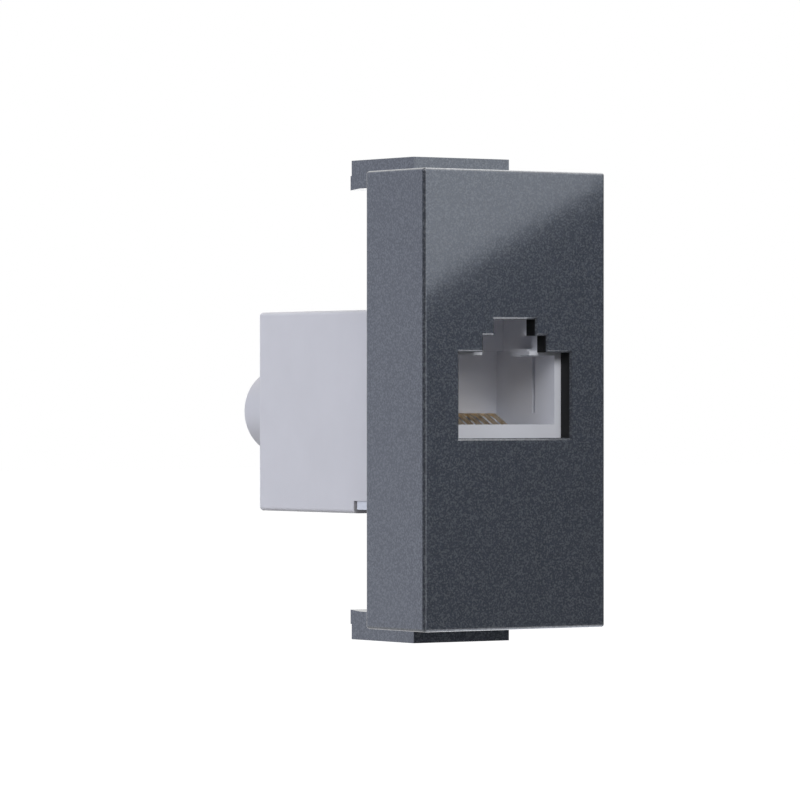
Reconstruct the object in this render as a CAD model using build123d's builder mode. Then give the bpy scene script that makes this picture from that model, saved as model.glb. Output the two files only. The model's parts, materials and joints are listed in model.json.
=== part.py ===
from build123d import *
import os

# Network wall socket, one module wide, for a 45 mm mounting frame.
# Millimetres. X runs to the right seen from the front, Y away from the viewer, Z up.
# The origin is the middle of the front face.

# Face block, a moulded box that is open at the back
face_width = 21.8
face_height = 45.0
face_depth = 10.15
front_wall = 1.65
side_wall = 1.4
top_wall = 1.45
edge_round = 0.28
back_edge_round = 0.35

# Clip arms above and below, with the catch that stops behind the mounting frame
arm_width = 11.55
arm_thickness = 1.31
arm_end = 20.4
arm_lip_length = 1.6
arm_lip_drop = 0.14
catch_front = 9.2
catch_height = 1.53
catch_setback = 0.2

# Eight-way plug that the port takes
plug_width = 11.68
plug_height = 6.6
plug_side_clearance = 0.06
plug_height_clearance = 0.05
port_floor = -2.4
port_back = 11.5
port_lead_in = 0.15
port_lead_length = 1.6
port_headroom = 0.6

# Keyway above the port: a slot between two shoulders, then the room for the plug's latch
shoulder_gap = 5.68
shoulder_end = 4.85
shoulder_height = 0.8
shoulder_slope_rise = 0.25
shoulder_slope_run = 0.75
key_plate = 0.85
latch_room_width = 8.4
latch_room_depth = 8.0
latch_room_margin = 0.1

# Opening in the face, in three widths, a little larger than the port behind it
opening_side_margin = 0.78
opening_lip = 1.34
opening_top_margin = 0.43
opening_step_widths = (7.59, 4.97)
opening_step_rises = (1.63, 1.6)
opening_bevel = 0.2

# Narrow upright grooves in the port's side walls
groove_depth_in = 5.15
groove_width = 0.45
groove_cut = 0.9
groove_foot = 1.15

# Rear cover, a box with a round cable collar
cover_width = 16.4
cover_height = 20.25
cover_middle = -1.17
cover_wall = 1.1
cover_back_wall = 1.2
cover_back = 33.7
cover_round = 0.4
cover_gap = 0.1
collar_radius = 4.4
collar_bore_radius = 3.4
collar_end = 42.5
collar_round = 0.35
notch_end = 16.2
notch_height = 1.25

# Jack housing: a front block, a narrower body and the parts that hold the rest
flange_rear = 8.6
flange_overhang = 1.25
slip_fit = 0.1
body_height_fit = 0.125
tongue_thickness = 0.85
tongue_inset = 0.2
tongue_end_gap = 0.3
tongue_rib_width = 11.0
tongue_rib_height = 0.25
snap_arm_thickness = 0.9
snap_arm_width = 5.0
snap_arm_length = 4.4
snap_window_width = 2.6
snap_window_length = 1.3
snap_bump_height = 0.55
snap_bump_length = 1.0
snap_bump_width = 2.2

# Snap fingers and guide ribs inside the face block
finger_width = 8.0
finger_thickness = 1.2
finger_nose = 0.9
finger_nose_length = 1.0
rib_thickness = 1.0
rib_length = 6.3
rib_spacing = 14.0

# Spring contacts: flat wire bent to a narrow V
contact_count = 8
contact_pitch = 1.016
wire_width = 0.34
wire_thickness = 0.3
wire_slope = 27.0
wire_emerges = 6.9
wire_plateau = 0.92
wire_tip = 12.2
wire_bend_radius = 0.6
wire_knee_radius = 0.5
leg_drop = 2.15
row_drop = 1.25
jog_start = 10.4
jog_end = 11.4
pin_projection = 0.35
comb_slot_width = 0.5
comb_slot_margin = 0.05

# Contact carrier, under the port's floor
carrier_width = 11.2
carrier_front = 4.3
carrier_drop = 1.2
carrier_height = 3.0
carrier_slot_floor = 0.28
carrier_fit = 0.1

# Circuit board between the jack and the terminal block
board_front = 12.9
board_thickness = 1.6
board_side_gap = 0.1
board_height = 17.0
board_recess = 0.5
board_rim = 0.5
contact_hole_radius = 0.35
fork_hole_radius = 0.45

# Terminal block with two banks of four wire slots
block_height = 17.1
block_length = 10.0
block_plate = 2.0
bank_inner = 3.4
bank_end = 0.2
slots_per_bank = 4
slot_width = 1.0
slot_depth = 6.2
slot_chamfer = 0.35
pin_relief = 0.6

# Forked terminals that grip the cable's wires
fork_row = 6.0
fork_width = 2.0
fork_thickness = 0.45
fork_fit = 0.05
fork_setback = 1.7
fork_gap = 0.36
fork_gap_depth = 4.8
fork_mouth = 1.1
fork_mouth_depth = 0.8
fork_pin_width = 0.6
fork_pin_projection = 0.3
fork_shoulder_gap = 0.05

# Wire manager: a plate in the cover whose fins press the wires into the forks
manager_front_gap = 0.5
manager_thickness = 2.4
manager_fit = 0.2
manager_hole_radius = 3.6
manager_groove_width = 1.3
manager_groove_depth = 0.9
fin_width = 0.8
fin_length = 1.3
fin_height = 4.4
seat_post = 1.6

# Sizes that follow from those above
half_height = face_height / 2
inner_half_width = face_width / 2 - side_wall
port_width = plug_width + 2 * plug_side_clearance
port_roof = port_floor + plug_height + plug_height_clearance
cover_front = flange_rear + cover_gap
cover_inner_width = cover_width - 2 * cover_wall
cover_inner_height = cover_height - 2 * cover_wall
cover_bottom = cover_middle - cover_height / 2
body_width = cover_inner_width - 2 * slip_fit
body_height = cover_inner_height - 2 * body_height_fit
body_bottom = cover_middle - body_height / 2
flange_height = cover_height + 2 * flange_overhang
board_width = body_width - 2 * (snap_arm_thickness + board_side_gap)
board_back = board_front + board_thickness
block_width = board_width
slot_pitch = (block_width - 2 * bank_end) / slots_per_bank
block_back = board_back + block_length
leg_level = port_floor - leg_drop
contact_xs = [contact_pitch * (index - (contact_count - 1) / 2) for index in range(contact_count)]
fork_xs = [slot_pitch * (index - (slots_per_bank - 1) / 2) for index in range(slots_per_bank)]
fork_places = [(x, side * fork_row) for side in (1, -1) for x in fork_xs]
fork_end = block_back - fork_setback
manager_front = block_back + manager_front_gap
manager_back = manager_front + manager_thickness
carrier_top = port_floor - carrier_drop
comb_slot_rise = wire_plateau + wire_thickness / 2 + comb_slot_margin


def facing_front(depth, level=0.0):
    # Plane parallel to the front face, so that its own x and y are the object's X and Z
    return Plane(origin=(0, depth, level), x_dir=(1, 0, 0), z_dir=(0, -1, 0))


def stepped_outline(widths, levels):
    # Outline symmetric about x = 0 that changes width at each level
    left = []
    for width, low, high in zip(widths, levels, levels[1:]):
        left += [(-width / 2, low), (-width / 2, high)]
    right = [(-x, level) for x, level in reversed(left)]
    Polyline(*left, *right, close=True)


def levels_from(start, rises):
    levels = [start]
    for rise in rises:
        levels.append(levels[-1] + rise)
    return levels


opening_widths = (port_width + 2 * opening_side_margin, *opening_step_widths)
opening_levels = [port_floor - opening_lip]
opening_levels += levels_from(port_roof + opening_top_margin, opening_step_rises)
shoulder_top = port_roof + shoulder_height
key_widths = (shoulder_gap, *opening_step_widths)
key_levels = [port_roof, shoulder_top, *opening_levels[2:]]
latch_room_top = key_levels[-1] + latch_room_margin


# Face block: front wall, side walls and clip arms are one moulding
with BuildPart() as face_shell:
    with BuildSketch(facing_front(0)):
        Rectangle(face_width, face_height)
    extrude(amount=-face_depth)
    front_face = face_shell.faces().sort_by(Axis.Y)[0]
    corner_edges = face_shell.edges().filter_by(Axis.Y)
    fillet(front_face.edges() + corner_edges, edge_round)
    back_face = face_shell.faces().sort_by(Axis.Y)[-1]
    fillet(back_face.edges(), back_edge_round)

    with BuildSketch(facing_front(front_wall)):
        Rectangle(2 * inner_half_width, face_height - 2 * top_wall)
    extrude(amount=-(face_depth - front_wall), mode=Mode.SUBTRACT)

    with BuildSketch(facing_front(0)):
        with BuildLine():
            stepped_outline(opening_widths, opening_levels)
        make_face()
    extrude(amount=-front_wall, mode=Mode.SUBTRACT)
    rim = face_shell.faces().sort_by(Axis.Y)[0].inner_wires()[0]
    chamfer(rim.edges(), opening_bevel)

    for side in (1, -1):
        arm_under = half_height - arm_thickness
        lip_start = arm_end - arm_lip_length
        catch_tip = half_height + catch_height
        with BuildSketch(Plane.YZ):
            with BuildLine():
                Polyline(
                    (catch_front, side * arm_under),
                    (catch_front, side * catch_tip),
                    (arm_end - catch_setback, side * catch_tip),
                    (arm_end - catch_setback, side * half_height),
                    (arm_end, side * half_height),
                    (arm_end, side * (arm_under - arm_lip_drop)),
                    (lip_start, side * arm_under),
                    close=True,
                )
            make_face()
        extrude(amount=arm_width / 2, both=True)

    # Snap fingers that hold the jack against the front wall
    for side in (1, -1):
        finger_inner = flange_height / 2 + slip_fit
        finger_outer = finger_inner + finger_thickness
        nose_tip = finger_inner - finger_nose
        nose_start = flange_rear + slip_fit
        with BuildSketch(Plane.YZ):
            with BuildLine():
                Polyline(
                    (front_wall / 2, cover_middle + side * finger_inner),
                    (nose_start, cover_middle + side * finger_inner),
                    (nose_start, cover_middle + side * nose_tip),
                    (nose_start + finger_nose_length, cover_middle + side * finger_inner),
                    (nose_start + finger_nose_length, cover_middle + side * finger_outer),
                    (front_wall / 2, cover_middle + side * finger_outer),
                    close=True,
                )
            make_face()
        extrude(amount=finger_width / 2, both=True)

    # Guide ribs beside the jack
    rib_inner = cover_width / 2 + slip_fit
    rib_reach = inner_half_width - rib_inner
    rib_x = (rib_inner + inner_half_width) / 2
    with BuildSketch(facing_front(front_wall, cover_middle)):
        with GridLocations(2 * rib_x, rib_spacing, 2, 2):
            Rectangle(rib_reach, rib_thickness)
    extrude(amount=-rib_length)


# Jack housing: port, keyway, comb and the tongue under the cover
with BuildPart() as jack_housing:
    with BuildSketch(facing_front(front_wall, cover_middle)):
        Rectangle(cover_width, flange_height)
    extrude(amount=-(flange_rear - front_wall))
    with BuildSketch(facing_front(flange_rear, cover_middle)):
        Rectangle(body_width, body_height)
    extrude(amount=-(board_front - flange_rear))

    # Tongue that fills the notch at the bottom of the cover
    tongue_end = notch_end - tongue_end_gap
    tongue_length = tongue_end - flange_rear
    with BuildSketch(facing_front(flange_rear, body_bottom)):
        with Locations((0, -tongue_thickness / 2)):
            Rectangle(cover_width - 2 * tongue_inset, tongue_thickness)
        with Locations((0, -tongue_thickness - tongue_rib_height / 2)):
            Rectangle(tongue_rib_width, tongue_rib_height)
    extrude(amount=-tongue_length)

    # Arms that clip over the terminal block
    arm_x = body_width / 2 - snap_arm_thickness / 2
    with BuildSketch(facing_front(board_front, cover_middle)):
        with GridLocations(2 * arm_x, 0, 2, 1):
            Rectangle(snap_arm_thickness, snap_arm_width)
    extrude(amount=-snap_arm_length)
    window_middle = board_back + block_plate / 2
    with BuildSketch(facing_front(window_middle, cover_middle)):
        Rectangle(2 * body_width, snap_window_width)
    extrude(amount=snap_window_length / 2, both=True, mode=Mode.SUBTRACT)

    # Port, with a shallow lead-in above its mouth and more height behind the shoulders
    port_middle = (port_floor + port_roof) / 2
    with BuildSketch(facing_front(front_wall, port_middle)):
        Rectangle(port_width, port_roof - port_floor)
    extrude(amount=-(port_back - front_wall), mode=Mode.SUBTRACT)
    with BuildSketch(facing_front(front_wall, port_roof)):
        Rectangle(port_width, 2 * port_lead_in)
    extrude(amount=-port_lead_length, mode=Mode.SUBTRACT)
    with BuildSketch(facing_front(shoulder_end, port_roof)):
        Rectangle(port_width, 2 * port_headroom)
    extrude(amount=-(port_back - shoulder_end), mode=Mode.SUBTRACT)

    # Keyway: its outline in the front plate, and the slot between the shoulders
    with BuildSketch(facing_front(front_wall)):
        with BuildLine():
            stepped_outline(key_widths, key_levels)
        make_face()
    extrude(amount=-key_plate, mode=Mode.SUBTRACT)
    with BuildSketch(facing_front(front_wall, port_roof)):
        Rectangle(shoulder_gap, 2 * shoulder_height)
    extrude(amount=-(shoulder_end - front_wall), mode=Mode.SUBTRACT)

    # Room behind the keyway where the plug's latch springs up
    latch_room_front = front_wall + key_plate
    latch_room_height = latch_room_top - shoulder_top
    with BuildSketch(facing_front(latch_room_front, latch_room_top - latch_room_height / 2)):
        Rectangle(latch_room_width, latch_room_height)
    extrude(amount=-(latch_room_depth - latch_room_front), mode=Mode.SUBTRACT)
    with BuildSketch(facing_front(shoulder_end, port_roof)):
        Rectangle(latch_room_width, 2 * shoulder_height)
    extrude(amount=-(latch_room_depth - shoulder_end), mode=Mode.SUBTRACT)

    # Sloped tops of the shoulders at the front
    with BuildSketch(Plane.YZ):
        with BuildLine():
            Polyline(
                (front_wall, shoulder_top),
                (front_wall, shoulder_top - shoulder_slope_rise),
                (front_wall + shoulder_slope_run, shoulder_top),
                close=True,
            )
        make_face()
    extrude(amount=key_widths[1] / 2, both=True, mode=Mode.SUBTRACT)

    # Upright grooves in the port's side walls
    groove_height = port_roof - port_floor - groove_foot
    with BuildSketch(facing_front(groove_depth_in, port_roof - groove_height / 2)):
        Rectangle(port_width + 2 * groove_cut, groove_height)
    extrude(amount=groove_width / 2, both=True, mode=Mode.SUBTRACT)

    # Pocket for the contact carrier, and the window above it in the port's floor
    pocket_height = carrier_height + 2 * carrier_fit
    pocket_middle = carrier_top - carrier_height / 2
    pocket_length = board_front - carrier_front + carrier_fit
    with BuildSketch(facing_front(board_front, pocket_middle)):
        Rectangle(carrier_width + 2 * carrier_fit, pocket_height)
    extrude(amount=pocket_length, mode=Mode.SUBTRACT)
    window_width = contact_pitch * (contact_count - 1) + 2 * comb_slot_width
    with BuildSketch(Plane.XY.offset(port_floor)):
        with Locations((0, (carrier_front + port_back) / 2)):
            Rectangle(window_width, port_back - carrier_front)
    extrude(amount=-carrier_drop, mode=Mode.SUBTRACT)

    # Comb in the back wall for the tips of the contacts, and the recess for the board's pins
    comb_middle = port_floor + comb_slot_rise / 2
    with BuildSketch(facing_front(port_back, comb_middle)):
        with GridLocations(contact_pitch, 0, contact_count, 1):
            Rectangle(comb_slot_width, comb_slot_rise)
    extrude(amount=-(board_front - port_back), mode=Mode.SUBTRACT)
    recess_width = board_width - 2 * board_rim
    recess_height = board_height - 2 * board_rim
    with BuildSketch(facing_front(board_front, cover_middle)):
        Rectangle(recess_width, recess_height)
    extrude(amount=board_recess, mode=Mode.SUBTRACT)


# Contact carrier: a block with one open channel for each contact
with BuildPart() as contact_carrier:
    with BuildSketch(facing_front(board_front, carrier_top - carrier_height / 2)):
        Rectangle(carrier_width, carrier_height)
    extrude(amount=board_front - carrier_front)
    channel_depth = carrier_top - leg_level + carrier_slot_floor
    with BuildSketch(Plane.XY.offset(carrier_top)):
        with Locations((0, (carrier_front + board_front) / 2)):
            with GridLocations(contact_pitch, 0, contact_count, 1):
                Rectangle(comb_slot_width, board_front - carrier_front)
    extrude(amount=-channel_depth, mode=Mode.SUBTRACT)
    deep_front = jog_start - comb_slot_width
    with BuildSketch(Plane.XY.offset(carrier_top)):
        with Locations((contact_pitch / 2, (deep_front + board_front) / 2)):
            with GridLocations(2 * contact_pitch, 0, contact_count // 2, 1):
                Rectangle(comb_slot_width, board_front - deep_front)
    extrude(amount=-(channel_depth + row_drop), mode=Mode.SUBTRACT)


def contact_route(lower_row):
    # Leg from the board, sharp bend at the front, rise through the floor, level tip
    slope = Vector(1, 0).rotate(Axis.Z, wire_slope)
    run_per_rise = slope.X / slope.Y
    front_corner = (wire_emerges - leg_drop * run_per_rise, leg_level)
    knee = (wire_emerges + wire_plateau * run_per_rise, port_floor + wire_plateau)
    tip = (wire_tip, port_floor + wire_plateau)
    pin_end = board_back + pin_projection
    if lower_row:
        low_level = leg_level - row_drop
        leg = [(pin_end, low_level), (jog_end, low_level), (jog_start, leg_level)]
        radii = [wire_knee_radius, wire_knee_radius, wire_bend_radius, wire_knee_radius]
    else:
        leg = [(pin_end, leg_level)]
        radii = [wire_bend_radius, wire_knee_radius]
    return [*leg, front_corner, knee, tip], radii


# Spring contacts, every second one with its leg in the lower row of holes
contacts = []
for index, contact_x in enumerate(contact_xs):
    route, radii = contact_route(lower_row=index % 2 == 1)
    contact_plane = Plane(origin=(contact_x, 0, 0), x_dir=(0, 1, 0), z_dir=(1, 0, 0))
    with BuildPart() as contact:
        with BuildLine(contact_plane) as wire_line:
            FilletPolyline(*route, radius=radii)
        with BuildSketch(facing_front(route[0][0], route[0][1])):
            with Locations((contact_x, 0)):
                Rectangle(wire_width, wire_thickness)
        sweep(path=wire_line.wire())
    contacts.append(contact)


# Circuit board with plated holes for the contacts and the forked terminals
with BuildPart() as circuit_board:
    with BuildSketch(facing_front(board_front, cover_middle)):
        Rectangle(board_width, board_height)
        with Locations(*fork_places):
            Circle(fork_hole_radius, mode=Mode.SUBTRACT)
        leg_holes = [
            (x, leg_level - (row_drop if index % 2 else 0) - cover_middle)
            for index, x in enumerate(contact_xs)
        ]
        with Locations(*leg_holes):
            Circle(contact_hole_radius, mode=Mode.SUBTRACT)
    extrude(amount=-board_thickness)


# Terminal block: a plate with two banks of towers and a channel for the cable between them
with BuildPart() as idc_block:
    with BuildSketch(facing_front(board_back, cover_middle)):
        Rectangle(block_width, block_height)
    extrude(amount=-block_length)
    with BuildSketch(facing_front(block_back, cover_middle)):
        Rectangle(block_width, 2 * bank_inner)
    extrude(amount=block_length - block_plate, mode=Mode.SUBTRACT)
    with BuildSketch(facing_front(block_back, cover_middle)):
        with GridLocations(slot_pitch, 0, slots_per_bank, 1):
            Rectangle(slot_width, block_height)
    extrude(amount=slot_depth, mode=Mode.SUBTRACT)
    tower_rims = idc_block.faces().filter_by(Axis.Y).group_by(Axis.Y)[-1].edges()
    chamfer(tower_rims.filter_by(Axis.Z), slot_chamfer)
    with BuildSketch(facing_front(board_back, cover_middle)):
        with Locations(*fork_places):
            Rectangle(fork_width + 2 * fork_fit, fork_thickness + 2 * fork_fit)
    extrude(amount=-block_length, mode=Mode.SUBTRACT)
    relief_top = leg_level + 2 * contact_hole_radius
    relief_bottom = leg_level - row_drop - 2 * contact_hole_radius
    relief_width = contact_pitch * contact_count
    with BuildSketch(facing_front(board_back, (relief_top + relief_bottom) / 2)):
        Rectangle(relief_width, relief_top - relief_bottom)
    extrude(amount=-pin_relief, mode=Mode.SUBTRACT)

    # Wedges that click into the windows of the jack's arms
    bump_start = window_middle - snap_bump_length / 2
    for side in (1, -1):
        with BuildSketch(Plane.XY.offset(cover_middle)):
            with BuildLine():
                Polyline(
                    (side * (block_width / 2 - snap_bump_height), bump_start),
                    (side * (block_width / 2 + snap_bump_height), bump_start),
                    (side * block_width / 2, bump_start + snap_bump_length),
                    (side * (block_width / 2 - snap_bump_height), bump_start + snap_bump_length),
                    close=True,
                )
            make_face()
        extrude(amount=snap_bump_width / 2, both=True)


# Forked terminals: flat blades with a pin at one end and a slit with a wide mouth at the other
idc_contacts = []
for fork_x, fork_z in fork_places:
    blade_start = board_back + fork_shoulder_gap
    pin_start = board_front - fork_pin_projection
    with BuildPart() as idc_contact:
        with BuildSketch(Plane.XY.offset(cover_middle + fork_z)):
            with BuildLine():
                half_outline = [
                    (fork_pin_width / 2, pin_start),
                    (fork_pin_width / 2, blade_start),
                    (fork_width / 2, blade_start),
                    (fork_width / 2, fork_end),
                    (fork_mouth / 2, fork_end),
                    (fork_gap / 2, fork_end - fork_mouth_depth),
                    (fork_gap / 2, fork_end - fork_gap_depth),
                ]
                right_side = [(fork_x + x, y) for x, y in half_outline]
                left_side = [(fork_x - x, y) for x, y in reversed(half_outline)]
                Polyline(*right_side, *left_side, close=True)
            make_face()
        extrude(amount=fork_thickness / 2, both=True)
    idc_contacts.append(idc_contact)


# Wire manager: a plate with a hole for the cable and one pressing fin for each wire slot
with BuildPart() as wire_manager:
    with BuildSketch(facing_front(manager_front, cover_middle)):
        Rectangle(cover_inner_width - 2 * manager_fit, cover_inner_height - 2 * manager_fit)
        Circle(manager_hole_radius, mode=Mode.SUBTRACT)
    extrude(amount=-manager_thickness)
    with BuildSketch(facing_front(manager_back, cover_middle)):
        with GridLocations(slot_pitch, 0, slots_per_bank, 1):
            Rectangle(manager_groove_width, cover_inner_height)
    extrude(amount=manager_groove_depth, mode=Mode.SUBTRACT)
    with BuildSketch(facing_front(manager_front, cover_middle)):
        with Locations(*fork_places):
            Rectangle(fin_width, fin_height)
    extrude(amount=fin_length + manager_front_gap)


# Rear cover: a box open at the front, with the cable collar on its back
with BuildPart() as rear_cover:
    with BuildSketch(facing_front(cover_front, cover_middle)):
        Rectangle(cover_width, cover_height)
    extrude(amount=-(cover_back - cover_front))
    cover_corners = rear_cover.edges().filter_by(Axis.Y)
    cover_rim = rear_cover.faces().sort_by(Axis.Y)[-1].edges()
    fillet(cover_corners + cover_rim, cover_round)
    with BuildSketch(facing_front(cover_back - cover_back_wall / 2, cover_middle)):
        Circle(collar_radius)
    extrude(amount=-(collar_end - cover_back + cover_back_wall / 2))
    collar_rim = rear_cover.faces().sort_by(Axis.Y)[-1].edges()
    fillet(collar_rim, collar_round)
    with BuildSketch(facing_front(cover_front, cover_middle)):
        Rectangle(cover_inner_width, cover_inner_height)
    extrude(amount=-(cover_back - cover_back_wall - cover_front), mode=Mode.SUBTRACT)
    with BuildSketch(facing_front(collar_end, cover_middle)):
        Circle(collar_bore_radius)
    extrude(amount=collar_end - cover_back + 2 * cover_back_wall, mode=Mode.SUBTRACT)
    with BuildSketch(facing_front(cover_front, cover_bottom + notch_height / 2)):
        Rectangle(cover_width, notch_height)
    extrude(amount=-(notch_end - cover_front), mode=Mode.SUBTRACT)

    # Posts in the corners that the wire manager rests on
    post_x = cover_inner_width - seat_post
    post_z = cover_inner_height - seat_post
    with BuildSketch(facing_front(manager_back, cover_middle)):
        with GridLocations(post_x, post_z, 2, 2):
            Rectangle(seat_post, seat_post)
    extrude(amount=-(cover_back - cover_back_wall - manager_back))


os.makedirs("parts", exist_ok=True)
named_parts = {
    "face_shell": face_shell,
    "jack_housing": jack_housing,
    "contact_carrier": contact_carrier,
    "circuit_board": circuit_board,
    "idc_block": idc_block,
    "wire_manager": wire_manager,
    "rear_cover": rear_cover,
}
for number, contact in enumerate(contacts, start=1):
    named_parts[f"contact_{number}"] = contact
for number, idc_contact in enumerate(idc_contacts, start=1):
    named_parts[f"idc_contact_{number}"] = idc_contact
for name, built in named_parts.items():
    built.part.label = name
    export_step(built.part, f"parts/{name}.step")
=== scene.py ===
import json
import math

import bpy
from mathutils import Matrix, Vector


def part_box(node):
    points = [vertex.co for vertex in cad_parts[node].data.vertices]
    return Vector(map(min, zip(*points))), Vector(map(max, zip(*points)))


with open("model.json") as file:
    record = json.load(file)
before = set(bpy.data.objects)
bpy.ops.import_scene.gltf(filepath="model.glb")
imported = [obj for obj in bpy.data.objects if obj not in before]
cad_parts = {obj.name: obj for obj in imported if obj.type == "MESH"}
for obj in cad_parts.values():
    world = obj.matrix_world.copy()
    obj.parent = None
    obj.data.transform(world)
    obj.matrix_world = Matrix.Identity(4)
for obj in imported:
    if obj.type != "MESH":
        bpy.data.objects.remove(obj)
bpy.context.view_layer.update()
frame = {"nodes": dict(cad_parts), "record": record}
mm = 0.001
upright = Vector((0.0, 0.0, 1.0))
noiseRange = (0.3, 0.7)         # where most of a noise texture's values lie
print("frame loaded:", len(frame["nodes"]), "nodes")


def linearColour(hexText):
    # sRGB hex to the linear values the shaders work in
    channels = [int(hexText[start:start + 2], 16) / 255 for start in (0, 2, 4)]
    linear = [c / 12.92 if c <= 0.04045 else ((c + 0.055) / 1.055) ** 2.4 for c in channels]
    return (*linear, 1.0)


def outwardAt(azimuth):
    # level direction away from the socket: 0 is straight in front, negative is to the left
    turn = math.radians(azimuth)
    return Vector((math.sin(turn), -math.cos(turn), 0.0))


def addNode(tree, kind, settings=None, links=None, stops=None):
    # one node with its fields, its input values, what feeds it and the stops of its colour ramp
    node = tree.nodes.new(kind)
    for key, value in (settings or {}).items():
        if isinstance(key, str) and hasattr(node, key):
            setattr(node, key, value)
        else:
            node.inputs[key].default_value = value
    for key, source in (links or {}).items():
        tree.links.new(source, node.inputs[key])
    for count, (position, colour) in enumerate(stops or []):
        elements = node.color_ramp.elements
        stop = elements[count] if count < len(elements) else elements.new(position)
        stop.position = position
        stop.color = colour
    return node


def newMaterial(name):
    material = bpy.data.materials.new(name)
    material.use_nodes = True
    material.node_tree.nodes.clear()
    return material, material.node_tree


# Metallic lacquer

lacquer = {
    "deepColour": "35393F",     # binder between the flakes
    "midColour": "3D4047",
    "flakeColour": "515459",    # flakes that catch the light
    "colourStops": (0.35, 0.7, 1.0),    # where these three stand on the speckle's scale
    "flakeSize": 0.17,          # mm, real flakes are too fine to show, so these are coarser
    "flakeRarity": 1.6,         # higher leaves fewer bright flakes
    "flakeShare": 0.6,          # of single flakes in the speckle, beside the soft clouding
    "flakeTilt": 0.08,          # how far the flakes lean from lying flat
    "metallic": 0.5,
    "baseRoughness": 0.33,
    "coatIor": 1.5,             # clear polyurethane
    "coatRoughness": 0.05,
    "peelWidth": 2.2,           # mm between the waves of the sprayed coat
    "peelDepth": 0.1,           # mm
    "peelStrength": 0.015,
}
# painted shade: near-black dull plastic laid in the opening, the hollow and on the snap fingers,
# darker than the lacquer as shade would leave it
paintedShadeLook = {
    "blockHeight": 45.0,        # mm, the face block without its clip arms
    "blockDepth": 10.2,
    "inset": 0.4,               # mm inside the outside faces where the painted shade begins
    "start": 0.22,              # mm behind the face where the painted shade on the opening's walls begins
    "fingerReach": 15.0,        # mm above and below the middle, what the snap fingers take up
    # near-black of the painted shade
    "colour": "0B0C0D",
    "roughness": 0.5,
    "sheen": 0.2,               # weak gloss of a spark eroded mould
    "grain": 0.12,              # mm
    "grainDepth": 0.08,         # mm
    "grainStrength": 0.15,
}


def makeLacquer():
    # anthracite metallic lacquer under a clear coat: dark body, fine sparkle, soft-edged gloss; in
    # the opening, in the hollow and on the snap fingers it gives way to painted shade, a near-black
    # dull plastic
    material, tree = newMaterial("anthraciteMetallicLacquer")
    place = addNode(tree, "ShaderNodeTexCoord").outputs["Object"]
    flakeScale = 1 / (lacquer["flakeSize"] * mm)
    flakes = addNode(tree, "ShaderNodeTexVoronoi", {"Scale": flakeScale, "Randomness": 1.0},
                     {"Vector": place})
    split = addNode(tree, "ShaderNodeSeparateColor", links={"Color": flakes.outputs["Color"]})
    cloud = addNode(tree, "ShaderNodeTexNoise", {"Scale": flakeScale, "Detail": 0.0},
                    {"Vector": place})
    sparse = addNode(tree, "ShaderNodeMath", {"operation": "POWER", 1: lacquer["flakeRarity"]},
                     {0: split.outputs["Red"]})
    mottled = addNode(tree, "ShaderNodeMath",
                      {"operation": "MULTIPLY_ADD", 1: lacquer["flakeShare"]},
                      {0: sparse.outputs[0], 2: cloud.outputs["Fac"]})
    tones = [linearColour(lacquer[key]) for key in ("deepColour", "midColour", "flakeColour")]
    colour = addNode(tree, "ShaderNodeValToRGB", links={"Fac": mottled.outputs[0]},
                     stops=zip(lacquer["colourStops"], tones))
    lean = addNode(tree, "ShaderNodeVectorMath", {"operation": "SUBTRACT", 1: (0.5, 0.5, 0.5)},
                   {0: flakes.outputs["Color"]})
    surface = addNode(tree, "ShaderNodeNewGeometry")
    tilted = addNode(tree, "ShaderNodeVectorMath",
                     {"operation": "MULTIPLY_ADD", 1: (lacquer["flakeTilt"],) * 3},
                     {0: lean.outputs[0], 2: surface.outputs["Normal"]})
    flakeNormal = addNode(tree, "ShaderNodeVectorMath", {"operation": "NORMALIZE"},
                          {0: tilted.outputs[0]})
    wave = addNode(tree, "ShaderNodeTexNoise",
                   {"Scale": 1 / (lacquer["peelWidth"] * mm), "Detail": 1.0}, {"Vector": place})
    peel = addNode(tree, "ShaderNodeBump",
                   {"Strength": lacquer["peelStrength"], "Distance": lacquer["peelDepth"] * mm},
                   {"Height": wave.outputs["Fac"]})
    sprayed = addNode(tree, "ShaderNodeBsdfPrincipled", {
        "Metallic": lacquer["metallic"],
        "Roughness": lacquer["baseRoughness"],
        "Specular IOR Level": 0.0,
        "Coat Weight": 1.0,
        "Coat IOR": lacquer["coatIor"],
        "Coat Roughness": lacquer["coatRoughness"],
    }, {"Base Color": colour.outputs["Color"], "Normal": flakeNormal.outputs[0],
        "Coat Normal": peel.outputs["Normal"]})
    grain = addNode(tree, "ShaderNodeTexNoise",
                    {"Scale": 1 / (paintedShadeLook["grain"] * mm), "Detail": 3.0}, {"Vector": place})
    pits = addNode(tree, "ShaderNodeBump",
                   {"Strength": paintedShadeLook["grainStrength"], "Distance": paintedShadeLook["grainDepth"] * mm},
                   {"Height": grain.outputs["Fac"]})
    # painted shade: near-black dull plastic with the mould's grain in its gloss
    shadeSurface = addNode(tree, "ShaderNodeBsdfPrincipled", {
        "Base Color": linearColour(paintedShadeLook["colour"]),
        "Roughness": paintedShadeLook["roughness"],
        "Specular IOR Level": paintedShadeLook["sheen"],
    }, {"Normal": pits.outputs["Normal"]})
    shader = addNode(tree, "ShaderNodeMixShader", links={
        0: paintedShadeMask(tree, place), 1: sprayed.outputs[0], 2: shadeSurface.outputs[0]})
    addNode(tree, "ShaderNodeOutputMaterial", links={"Surface": shader.outputs[0]})
    return material


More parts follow.
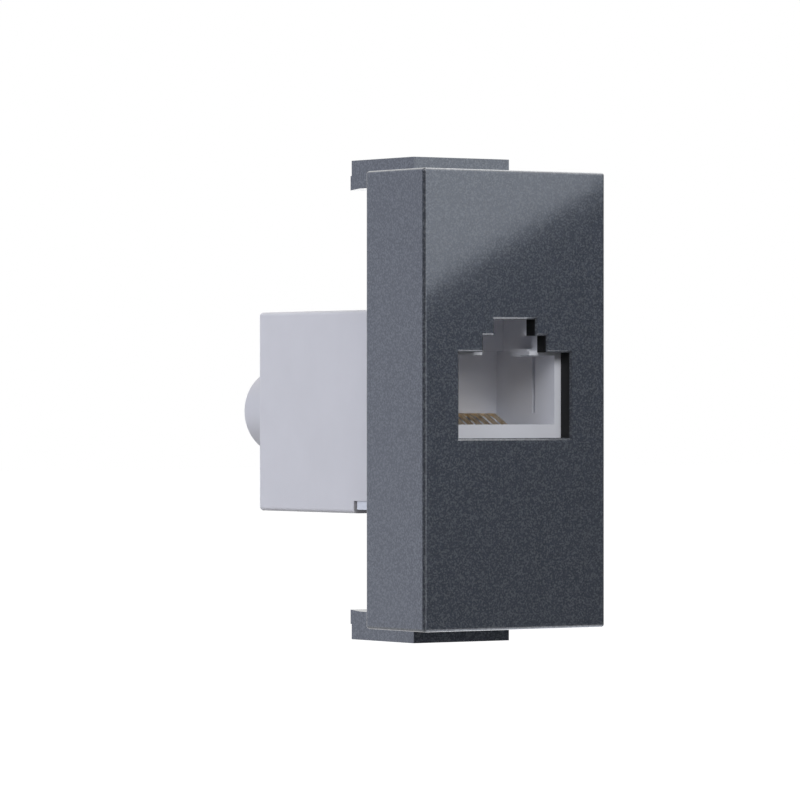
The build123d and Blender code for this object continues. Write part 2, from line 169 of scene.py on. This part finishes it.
def paintedShadeMask(tree, place):
    # 1 where the shade is painted: on the opening's walls, in the hollow and on the snap fingers; 0
    #                               on the lacquer
    low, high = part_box("face_shell")
    axes = addNode(tree, "ShaderNodeSeparateXYZ", links={"Vector": place}).outputs
    halfWidth = (high[0] - low[0]) / 2 - paintedShadeLook["inset"] * mm
    halfHeight = (paintedShadeLook["blockHeight"] / 2 - paintedShadeLook["inset"]) * mm
    hollowFront = low[1] + paintedShadeLook["start"] * mm
    hollowBack = low[1] + paintedShadeLook["blockDepth"] * mm
    fingerHeight = paintedShadeLook["fingerReach"] * mm
    hollow = insideBox(tree, axes, halfWidth, halfHeight, hollowFront, hollowBack)
    fingers = insideBox(tree, axes, halfWidth, fingerHeight, hollowBack, high[1])
    return addNode(tree, "ShaderNodeMath", {"operation": "MAXIMUM"},
                   {0: hollow, 1: fingers}).outputs[0]


def insideBox(tree, axes, halfWidth, halfHeight, front, back):
    # 1 within a box that is centred on x and z
    tests = [(axes["X"], halfWidth, 0.0), (axes["Z"], halfHeight, 0.0),
             (axes["Y"], (back - front) / 2, (front + back) / 2)]
    inside = None
    for axis, half, middle in tests:
        away = addNode(tree, "ShaderNodeMath", {"operation": "SUBTRACT", 1: middle}, {0: axis})
        size = addNode(tree, "ShaderNodeMath", {"operation": "ABSOLUTE"}, {0: away.outputs[0]})
        within = addNode(tree, "ShaderNodeMath", {"operation": "LESS_THAN", 1: half},
                         {0: size.outputs[0]}).outputs[0]
        if inside is None:
            inside = within
        else:
            inside = addNode(tree, "ShaderNodeMath", {"operation": "MULTIPLY"},
                             {0: inside, 1: within}).outputs[0]
    return inside


# Light grey plastics

plastics = {
    # grain in mm
    # from a polished mould: it mirrors like glaze
    "jack": {"colour": "D9DBE3", "roughness": 0.05, "ior": 1.6,
             "grain": 0.9, "grainStrength": 0.01},
    # from a finely eroded mould: satin, with no clear reflection
    "cover": {"colour": "CCCACE", "roughness": 0.42, "ior": 1.53,
              "grain": 0.12, "grainStrength": 0.12},
    # runs thin and dulls where it flowed: a soft sheen
    "carrier": {"colour": "A9ABB2", "roughness": 0.36, "ior": 1.6,
                "grain": 0.3, "grainStrength": 0.06},
}
melt = {
    "cloud": 5.5,               # mm across the faint clouds that the melt leaves
    "cloudDepth": 0.955,        # how dark they are beside the plain colour
    "grainDepth": 0.08,         # mm
    "glossSpread": 0.12,        # how far the roughness wanders to either side
}


def makePlastic(name, look):
    # moulded plastic: even colour with faint flow clouding, the tool's texture in the gloss
    material, tree = newMaterial(name)
    place = addNode(tree, "ShaderNodeTexCoord").outputs["Object"]
    base = linearColour(look["colour"])
    dim = tuple(channel * melt["cloudDepth"] for channel in base[:3]) + (1.0,)
    clouds = addNode(tree, "ShaderNodeTexNoise",
                     {"Scale": 1 / (melt["cloud"] * mm), "Detail": 4.0}, {"Vector": place})
    colour = addNode(tree, "ShaderNodeValToRGB", links={"Fac": clouds.outputs["Fac"]},
                     stops=zip(noiseRange, (dim, base)))
    grain = addNode(tree, "ShaderNodeTexNoise",
                    {"Scale": 1 / (look["grain"] * mm), "Detail": 3.0}, {"Vector": place})
    bump = addNode(tree, "ShaderNodeBump",
                   {"Strength": look["grainStrength"], "Distance": melt["grainDepth"] * mm},
                   {"Height": grain.outputs["Fac"]})
    gloss = addNode(tree, "ShaderNodeMapRange", {
        "To Min": look["roughness"] * (1 - melt["glossSpread"]),
        "To Max": look["roughness"] * (1 + melt["glossSpread"]),
    }, {"Value": grain.outputs["Fac"]})
    shader = addNode(tree, "ShaderNodeBsdfPrincipled", {"IOR": look["ior"]}, {
        "Base Color": colour.outputs["Color"],
        "Roughness": gloss.outputs[0],
        "Normal": bump.outputs["Normal"],
    })
    addNode(tree, "ShaderNodeOutputMaterial", links={"Surface": shader.outputs[0]})
    return material


# Metals

metals = {
    # drawLine in mm from one drag line to the next, as fine as the real ones: seen only close up
    "gold": {"light": "FFEED2", "dark": "DAC29A", "roughness": 0.3, "drawLine": 0.05},
    "tin": {"light": "D6D7D6", "dark": "AEB0B1", "roughness": 0.3, "drawLine": 0.08},
}
plating = {
    "lineStretch": 0.08,        # scale along the strip: a line is 12 times as long as wide
    "lineDepth": 0.02,          # mm
    "lineStrength": 0.08,
    "tarnishCloud": 1.1,        # mm
    "tarnishRange": (0.3, 0.6), # noise values of full and of no tarnish
    "tarnishGloss": 0.8,        # times the roughness, where the noise is lowest
    "cleanGloss": 1.3,          # and where it is highest
}


def makeMetal(name, look):
    # plated strip: soft metal gloss with drag lines along the strip and slight tarnish clouds
    material, tree = newMaterial(name)
    place = addNode(tree, "ShaderNodeTexCoord").outputs["Object"]
    stretched = addNode(tree, "ShaderNodeMapping",
                        {"Scale": (1.0, plating["lineStretch"], 1.0)}, {"Vector": place})
    lines = addNode(tree, "ShaderNodeTexNoise",
                    {"Scale": 1 / (look["drawLine"] * mm), "Detail": 2.0},
                    {"Vector": stretched.outputs[0]})
    clouds = addNode(tree, "ShaderNodeTexNoise",
                     {"Scale": 1 / (plating["tarnishCloud"] * mm), "Detail": 3.0},
                     {"Vector": place})
    tones = (linearColour(look["dark"]), linearColour(look["light"]))
    colour = addNode(tree, "ShaderNodeValToRGB", links={"Fac": clouds.outputs["Fac"]},
                     stops=zip(plating["tarnishRange"], tones))
    bump = addNode(tree, "ShaderNodeBump",
                   {"Strength": plating["lineStrength"], "Distance": plating["lineDepth"] * mm},
                   {"Height": lines.outputs["Fac"]})
    gloss = addNode(tree, "ShaderNodeMapRange", {
        "To Min": look["roughness"] * plating["tarnishGloss"],
        "To Max": look["roughness"] * plating["cleanGloss"],
    }, {"Value": clouds.outputs["Fac"]})
    shader = addNode(tree, "ShaderNodeBsdfPrincipled", {"Metallic": 1.0}, {
        "Base Color": colour.outputs["Color"],
        "Roughness": gloss.outputs[0],
        "Normal": bump.outputs["Normal"],
    })
    addNode(tree, "ShaderNodeOutputMaterial", links={"Surface": shader.outputs[0]})
    return material


# Circuit board

board = {
    "maskDark": "174A2D",
    "mask": "1E5A38",
    "weave": 0.45,              # mm from yarn to yarn
    "weaveDepth": 0.03,         # mm
    "weaveStrength": 0.1,
    "weaveRange": (0.2, 0.8),   # of the wave, from the darkest to the lightest
    "wander": 0.4,              # how unevenly the yarns lie
    "roughness": 0.28,
    "ior": 1.52,
}


def makeBoard():
    # glass laminate under green solder mask: glossy, with the yarns showing faintly through
    material, tree = newMaterial("greenSolderMask")
    place = addNode(tree, "ShaderNodeTexCoord").outputs["Object"]
    # at scale 1 this texture runs through 20 radians per unit of length
    weave = addNode(tree, "ShaderNodeTexWave",
                    {"Scale": math.tau / (20 * board["weave"] * mm), "Distortion": board["wander"]},
                    {"Vector": place})
    tones = (linearColour(board["maskDark"]), linearColour(board["mask"]))
    colour = addNode(tree, "ShaderNodeValToRGB", links={"Fac": weave.outputs["Fac"]},
                     stops=zip(board["weaveRange"], tones))
    bump = addNode(tree, "ShaderNodeBump",
                   {"Strength": board["weaveStrength"], "Distance": board["weaveDepth"] * mm},
                   {"Height": weave.outputs["Fac"]})
    shader = addNode(tree, "ShaderNodeBsdfPrincipled",
                     {"Roughness": board["roughness"], "IOR": board["ior"]},
                     {"Base Color": colour.outputs["Color"], "Normal": bump.outputs["Normal"]})
    addNode(tree, "ShaderNodeOutputMaterial", links={"Surface": shader.outputs[0]})
    return material


finishes = {
    "face_lacquer": makeLacquer(),
    "jack_plastic": makePlastic("glossyGreyPolyester", plastics["jack"]),
    "cover_plastic": makePlastic("satinGreyPolycarbonate", plastics["cover"]),
    "carrier_plastic": makePlastic("greyLiquidCrystalPolymer", plastics["carrier"]),
    "gold_plate": makeMetal("goldOverNickel", metals["gold"]),
    "tinned_bronze": makeMetal("brightTinPlate", metals["tin"]),
    "board_laminate": makeBoard(),
}
print("materials made:", len(finishes))


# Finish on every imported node

for subpart in frame["record"]["subparts"]:
    solid = frame["nodes"][subpart["node"]]
    finish = finishes[subpart["material_slot"]]
    if not solid.material_slots:
        solid.data.materials.append(finish)
    for materialSlot in solid.material_slots:
        materialSlot.material = finish
print("nodes dressed")


# Camera at the photo's viewing angle

shot = {
    "azimuth": -34.39,                  # degrees round from the front, to the left
    "target": (-12.82, 1.31, 0.0),      # mm, what stands in the middle of the picture
    "distance": 512.6,                  # mm
    "lens": 238.4,                      # mm
    "sensor": 36.0,                     # mm
    "nearest": 10.0,                    # mm, how close and how far it sees
    "farthest": 20000.0,
}


def makeCamera():
    back = outwardAt(shot["azimuth"])
    camera = bpy.data.objects.new("camera", bpy.data.cameras.new("camera"))
    bpy.context.collection.objects.link(camera)
    camera.data.lens = shot["lens"]
    camera.data.sensor_width = shot["sensor"]
    camera.data.clip_start = shot["nearest"] * mm
    camera.data.clip_end = shot["farthest"] * mm
    target = Vector(shot["target"]) * mm
    camera.location = target + back * shot["distance"] * mm
    camera.rotation_euler = (-back).to_track_quat("-Z", "Y").to_euler()
    bpy.context.scene.camera = camera
    return camera


camera = makeCamera()
print("camera placed")


# White studio

studio = {
    "floorDrop": 100.0,         # mm below the origin, the photo shows no surface to stand on
    "floorSize": 12000.0,       # mm
    "paperDark": "F2F2F2",
    "paperLight": "F7F7F7",
    "paperFibre": 1.1,          # mm
    "whiteColour": "FFFFFF",
    "white": 1.0,               # strength at which the world is seen as white
    "worldStrength": 0.12,      # what lights the object, under the white that is seen
    "nearGlow": 0.33,           # added to the lit paper under the socket, where its shadow falls
    "farGlow": 0.93,            # added where the lamps hardly reach
    "glowStart": 200.0,         # mm from the socket
    "glowEnd": 800.0,
}


def makeWorld():
    world = bpy.data.worlds.new("studioWhite")
    bpy.context.scene.world = world
    world.use_nodes = True
    tree = world.node_tree
    tree.nodes.clear()
    shown = seenByEye(tree)
    strength = addNode(tree, "ShaderNodeMapRange", {
        "To Min": studio["worldStrength"], "To Max": studio["white"]}, {"Value": shown})
    background = addNode(tree, "ShaderNodeBackground",
                         {"Color": linearColour(studio["whiteColour"])},
                         {"Strength": strength.outputs[0]})
    addNode(tree, "ShaderNodeOutputWorld", links={"Surface": background.outputs[0]})


def seenByEye(tree):
    # 1 for the rays that show the surroundings: straight, mirrored or through glass
    path = addNode(tree, "ShaderNodeLightPath")
    seen = addNode(tree, "ShaderNodeMath", {"operation": "MAXIMUM"}, {
        0: path.outputs["Is Camera Ray"], 1: path.outputs["Is Glossy Ray"]})
    through = addNode(tree, "ShaderNodeMath", {"operation": "MAXIMUM"}, {
        0: seen.outputs[0], 1: path.outputs["Is Transmission Ray"]})
    return through.outputs[0]


def addSheet(name, centre, across, up, width, height):
    # flat rectangle for the stage, centred on a point
    halfAcross = across * width / 2
    halfUp = up * height / 2
    corners = [centre - halfAcross - halfUp, centre + halfAcross - halfUp,
               centre + halfAcross + halfUp, centre - halfAcross + halfUp]
    mesh = bpy.data.meshes.new(name)
    mesh.from_pydata([tuple(corner) for corner in corners], [], [(0, 1, 2, 3)])
    sheet = bpy.data.objects.new(name, mesh)
    bpy.context.collection.objects.link(sheet)
    return sheet


def makeFloor():
    # matt white paper: even and bright, and it keeps the soft shadow under the socket
    size = studio["floorSize"] * mm
    floor = addSheet("floor", Vector((0.0, 0.0, -studio["floorDrop"] * mm)),
                     Vector((1.0, 0.0, 0.0)), Vector((0.0, 1.0, 0.0)), size, size)
    material, tree = newMaterial("whitePaper")
    place = addNode(tree, "ShaderNodeTexCoord").outputs["Object"]
    fibre = addNode(tree, "ShaderNodeTexNoise", {"Scale": 1 / (studio["paperFibre"] * mm)},
                    {"Vector": place})
    tones = (linearColour(studio["paperDark"]), linearColour(studio["paperLight"]))
    colour = addNode(tree, "ShaderNodeValToRGB", links={"Fac": fibre.outputs["Fac"]},
                     stops=zip(noiseRange, tones))
    paper = addNode(tree, "ShaderNodeBsdfDiffuse", links={"Color": colour.outputs["Color"]})
    away = addNode(tree, "ShaderNodeVectorMath", {"operation": "LENGTH"}, {0: place})
    glowStrength = addNode(tree, "ShaderNodeMapRange", {
        "From Min": studio["glowStart"] * mm, "From Max": studio["glowEnd"] * mm,
        "To Min": studio["nearGlow"], "To Max": studio["farGlow"],
    }, {"Value": away.outputs["Value"]})
    glow = addNode(tree, "ShaderNodeEmission", {"Color": linearColour(studio["whiteColour"])},
                   {"Strength": glowStrength.outputs[0]})
    both = addNode(tree, "ShaderNodeAddShader", links={0: paper.outputs[0], 1: glow.outputs[0]})
    shown = addNode(tree, "ShaderNodeMixShader", links={
        0: seenByEye(tree), 1: paper.outputs[0], 2: both.outputs[0]})
    addNode(tree, "ShaderNodeOutputMaterial", links={"Surface": shown.outputs[0]})
    floor.data.materials.append(material)
    floor.visible_diffuse = False       # no glow of the paper on the socket


# Soft panels

panels = {
    # places and sizes in mm, and a panel that has a place faces the origin from there
    # hiddenFrom names the rays that pass it by: one that only gleams, or one that only lights
    # what the face mirrors: the lower edge of this panel runs across it as a soft diagonal
    "edge": {"distance": 600.0, "width": 420.0, "height": 300.0, "radiance": 1.6,
             "colour": "E4EFFF", "leftHeight": 10.3, "rightHeight": 21.3,
             "hiddenFrom": "diffuse"},
    "key": {"place": (-180.0, -810.0, 560.0), "width": 900.0, "height": 450.0,
            "radiance": 4.3, "colour": "FFFFFF", "hiddenFrom": ""},
    "left": {"place": (-970.0, -240.0, 200.0), "width": 400.0, "height": 900.0,
             "radiance": 2.8, "colour": "F6F8FF", "hiddenFrom": ""},
    "backLeft": {"place": (-650.0, 750.0, 100.0), "width": 700.0, "height": 900.0,
                 "radiance": 2.6, "colour": "E9F0FF", "hiddenFrom": "glossy"},
    "coolGleam": {"place": (-600.0, 700.0, 95.0), "width": 700.0, "height": 900.0,
                  "radiance": 0.33, "colour": "9DBDFF", "hiddenFrom": "diffuse"},
    "back": {"place": (500.0, 900.0, 150.0), "width": 700.0, "height": 700.0,
             "radiance": 1.8, "colour": "FFFFFF", "hiddenFrom": "glossy"},
    "right": {"place": (900.0, -150.0, 250.0), "width": 600.0, "height": 900.0,
              "radiance": 1.5, "colour": "FFFFFF", "hiddenFrom": "glossy"},
    # these two draw the thin light lines along the rounded top edges
    "sideRim": {"place": (50.0, 850.0, 600.0), "width": 900.0, "height": 500.0,
                "radiance": 0.6, "colour": "FFFFFF", "hiddenFrom": "diffuse"},
    "frontRim": {"place": (395.0, 0.0, 577.0), "width": 1200.0, "height": 400.0,
                 "radiance": 2.2, "colour": "FFFFFF", "hiddenFrom": "diffuse"},
    # and this one, close above the floor, the line along the lower front edge
    "lowRim": {"place": (62.0, 0.0, -90.0), "width": 190.0, "height": 62.0,
               "radiance": 1.7, "colour": "F4F7FF", "hiddenFrom": "diffuse"},
}


def mirroredPoint(facePoint, distance):
    # where the camera looks by way of the glossy front face
    sight = (facePoint - camera.location).normalized()
    bounced = Vector((sight.x, -sight.y, sight.z))
    return facePoint + bounced * distance


def addPanel(name, centre, across, up, look):
    # area light that shines against its own z, its x runs along across and its y along up
    light = bpy.data.lights.new(name, "AREA")
    light.shape = "RECTANGLE"
    light.size = look["width"] * mm
    light.size_y = look["height"] * mm
    # in watts, 4 for each square metre at a radiance of 1
    light.energy = 4 * look["radiance"] * light.size * light.size_y
    light.color = linearColour(look["colour"])[:3]
    panel = bpy.data.objects.new(name, light)
    bpy.context.collection.objects.link(panel)
    axes = Matrix((across, up, across.cross(up))).transposed()
    panel.matrix_world = Matrix.Translation(centre) @ axes.to_4x4()
    panel.visible_camera = False
    panel.visible_diffuse = look["hiddenFrom"] != "diffuse"
    panel.visible_glossy = look["hiddenFrom"] != "glossy"


def addAimedPanel(name):
    look = panels[name]
    centre = Vector(look["place"]) * mm
    away = centre.normalized()
    across = upright.cross(away).normalized()
    addPanel(name + "Panel", centre, across, away.cross(across), look)


def makeLights():
    # the edge panel lies where its lower edge is mirrored at the two heights given for it
    look = panels["edge"]
    faceLow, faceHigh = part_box("face_shell")
    left = Vector((faceLow[0], faceLow[1], look["leftHeight"] * mm))
    right = Vector((faceHigh[0], faceLow[1], look["rightHeight"] * mm))
    edgeStart = mirroredPoint(left, look["distance"] * mm)
    edgeEnd = mirroredPoint(right, look["distance"] * mm)
    across = (edgeEnd - edgeStart).normalized()
    middle = (edgeStart + edgeEnd) / 2
    away = (middle - across * middle.dot(across)).normalized()
    up = away.cross(across)
    if up.z < 0:
        across, up = -across, -up
    addPanel("edgePanel", middle + up * look["height"] * mm / 2, across, up, look)
    for name in panels:
        if name != "edge":
            addAimedPanel(name)
    return middle, across, up, away


# Black flats that only reflections see

flats = {
    "frontFlat": {"distance": 640.0, "width": 1000.0, "height": 700.0},
    # these two are mirrored only by the rounded upright edge, as a dark line
    "cameraFlat": {"distance": 800.0, "width": 1560.0, "height": 200.0, "azimuth": -52.0},
    "sideFlat": {"distance": 800.0, "width": 640.0, "height": 200.0, "azimuth": -117.5},
}
felt = {
    "dark": "101010",
    "light": "1C1C1C",
    "nap": 2.5,                 # mm
}


def makeFelt():
    # black felt: it gives back so little light that the gloss over it goes dark
    material, tree = newMaterial("blackFelt")
    place = addNode(tree, "ShaderNodeTexCoord").outputs["Object"]
    nap = addNode(tree, "ShaderNodeTexNoise", {"Scale": 1 / (felt["nap"] * mm)}, {"Vector": place})
    tones = (linearColour(felt["dark"]), linearColour(felt["light"]))
    colour = addNode(tree, "ShaderNodeValToRGB", links={"Fac": nap.outputs["Fac"]},
                     stops=zip(noiseRange, tones))
    cloth = addNode(tree, "ShaderNodeBsdfDiffuse", links={"Color": colour.outputs["Color"]})
    addNode(tree, "ShaderNodeOutputMaterial", links={"Surface": cloth.outputs[0]})
    return material


def makeFlats(middle, across, up, away):
    # one black flat below the edge panel, and two upright ones round the front left
    flat = flats["frontFlat"]
    behind = middle + away * (flat["distance"] - panels["edge"]["distance"]) * mm
    front = addSheet("frontFlat", behind - up * flat["height"] * mm / 2, across, up,
                     flat["width"] * mm, flat["height"] * mm)
    sheets = [front]
    for name in ("cameraFlat", "sideFlat"):
        flat = flats[name]
        outward = outwardAt(flat["azimuth"])
        sheets.append(addSheet(name, outward * flat["distance"] * mm, upright.cross(outward),
                               upright, flat["width"] * mm, flat["height"] * mm))
    cloth = makeFelt()
    for sheet in sheets:
        sheet.data.materials.append(cloth)
        sheet.visible_camera = False
        sheet.visible_diffuse = False
        sheet.visible_shadow = False


makeWorld()
makeFloor()
makeFlats(*makeLights())
bpy.context.scene.view_settings.view_transform = "Standard"
print("studio lit")
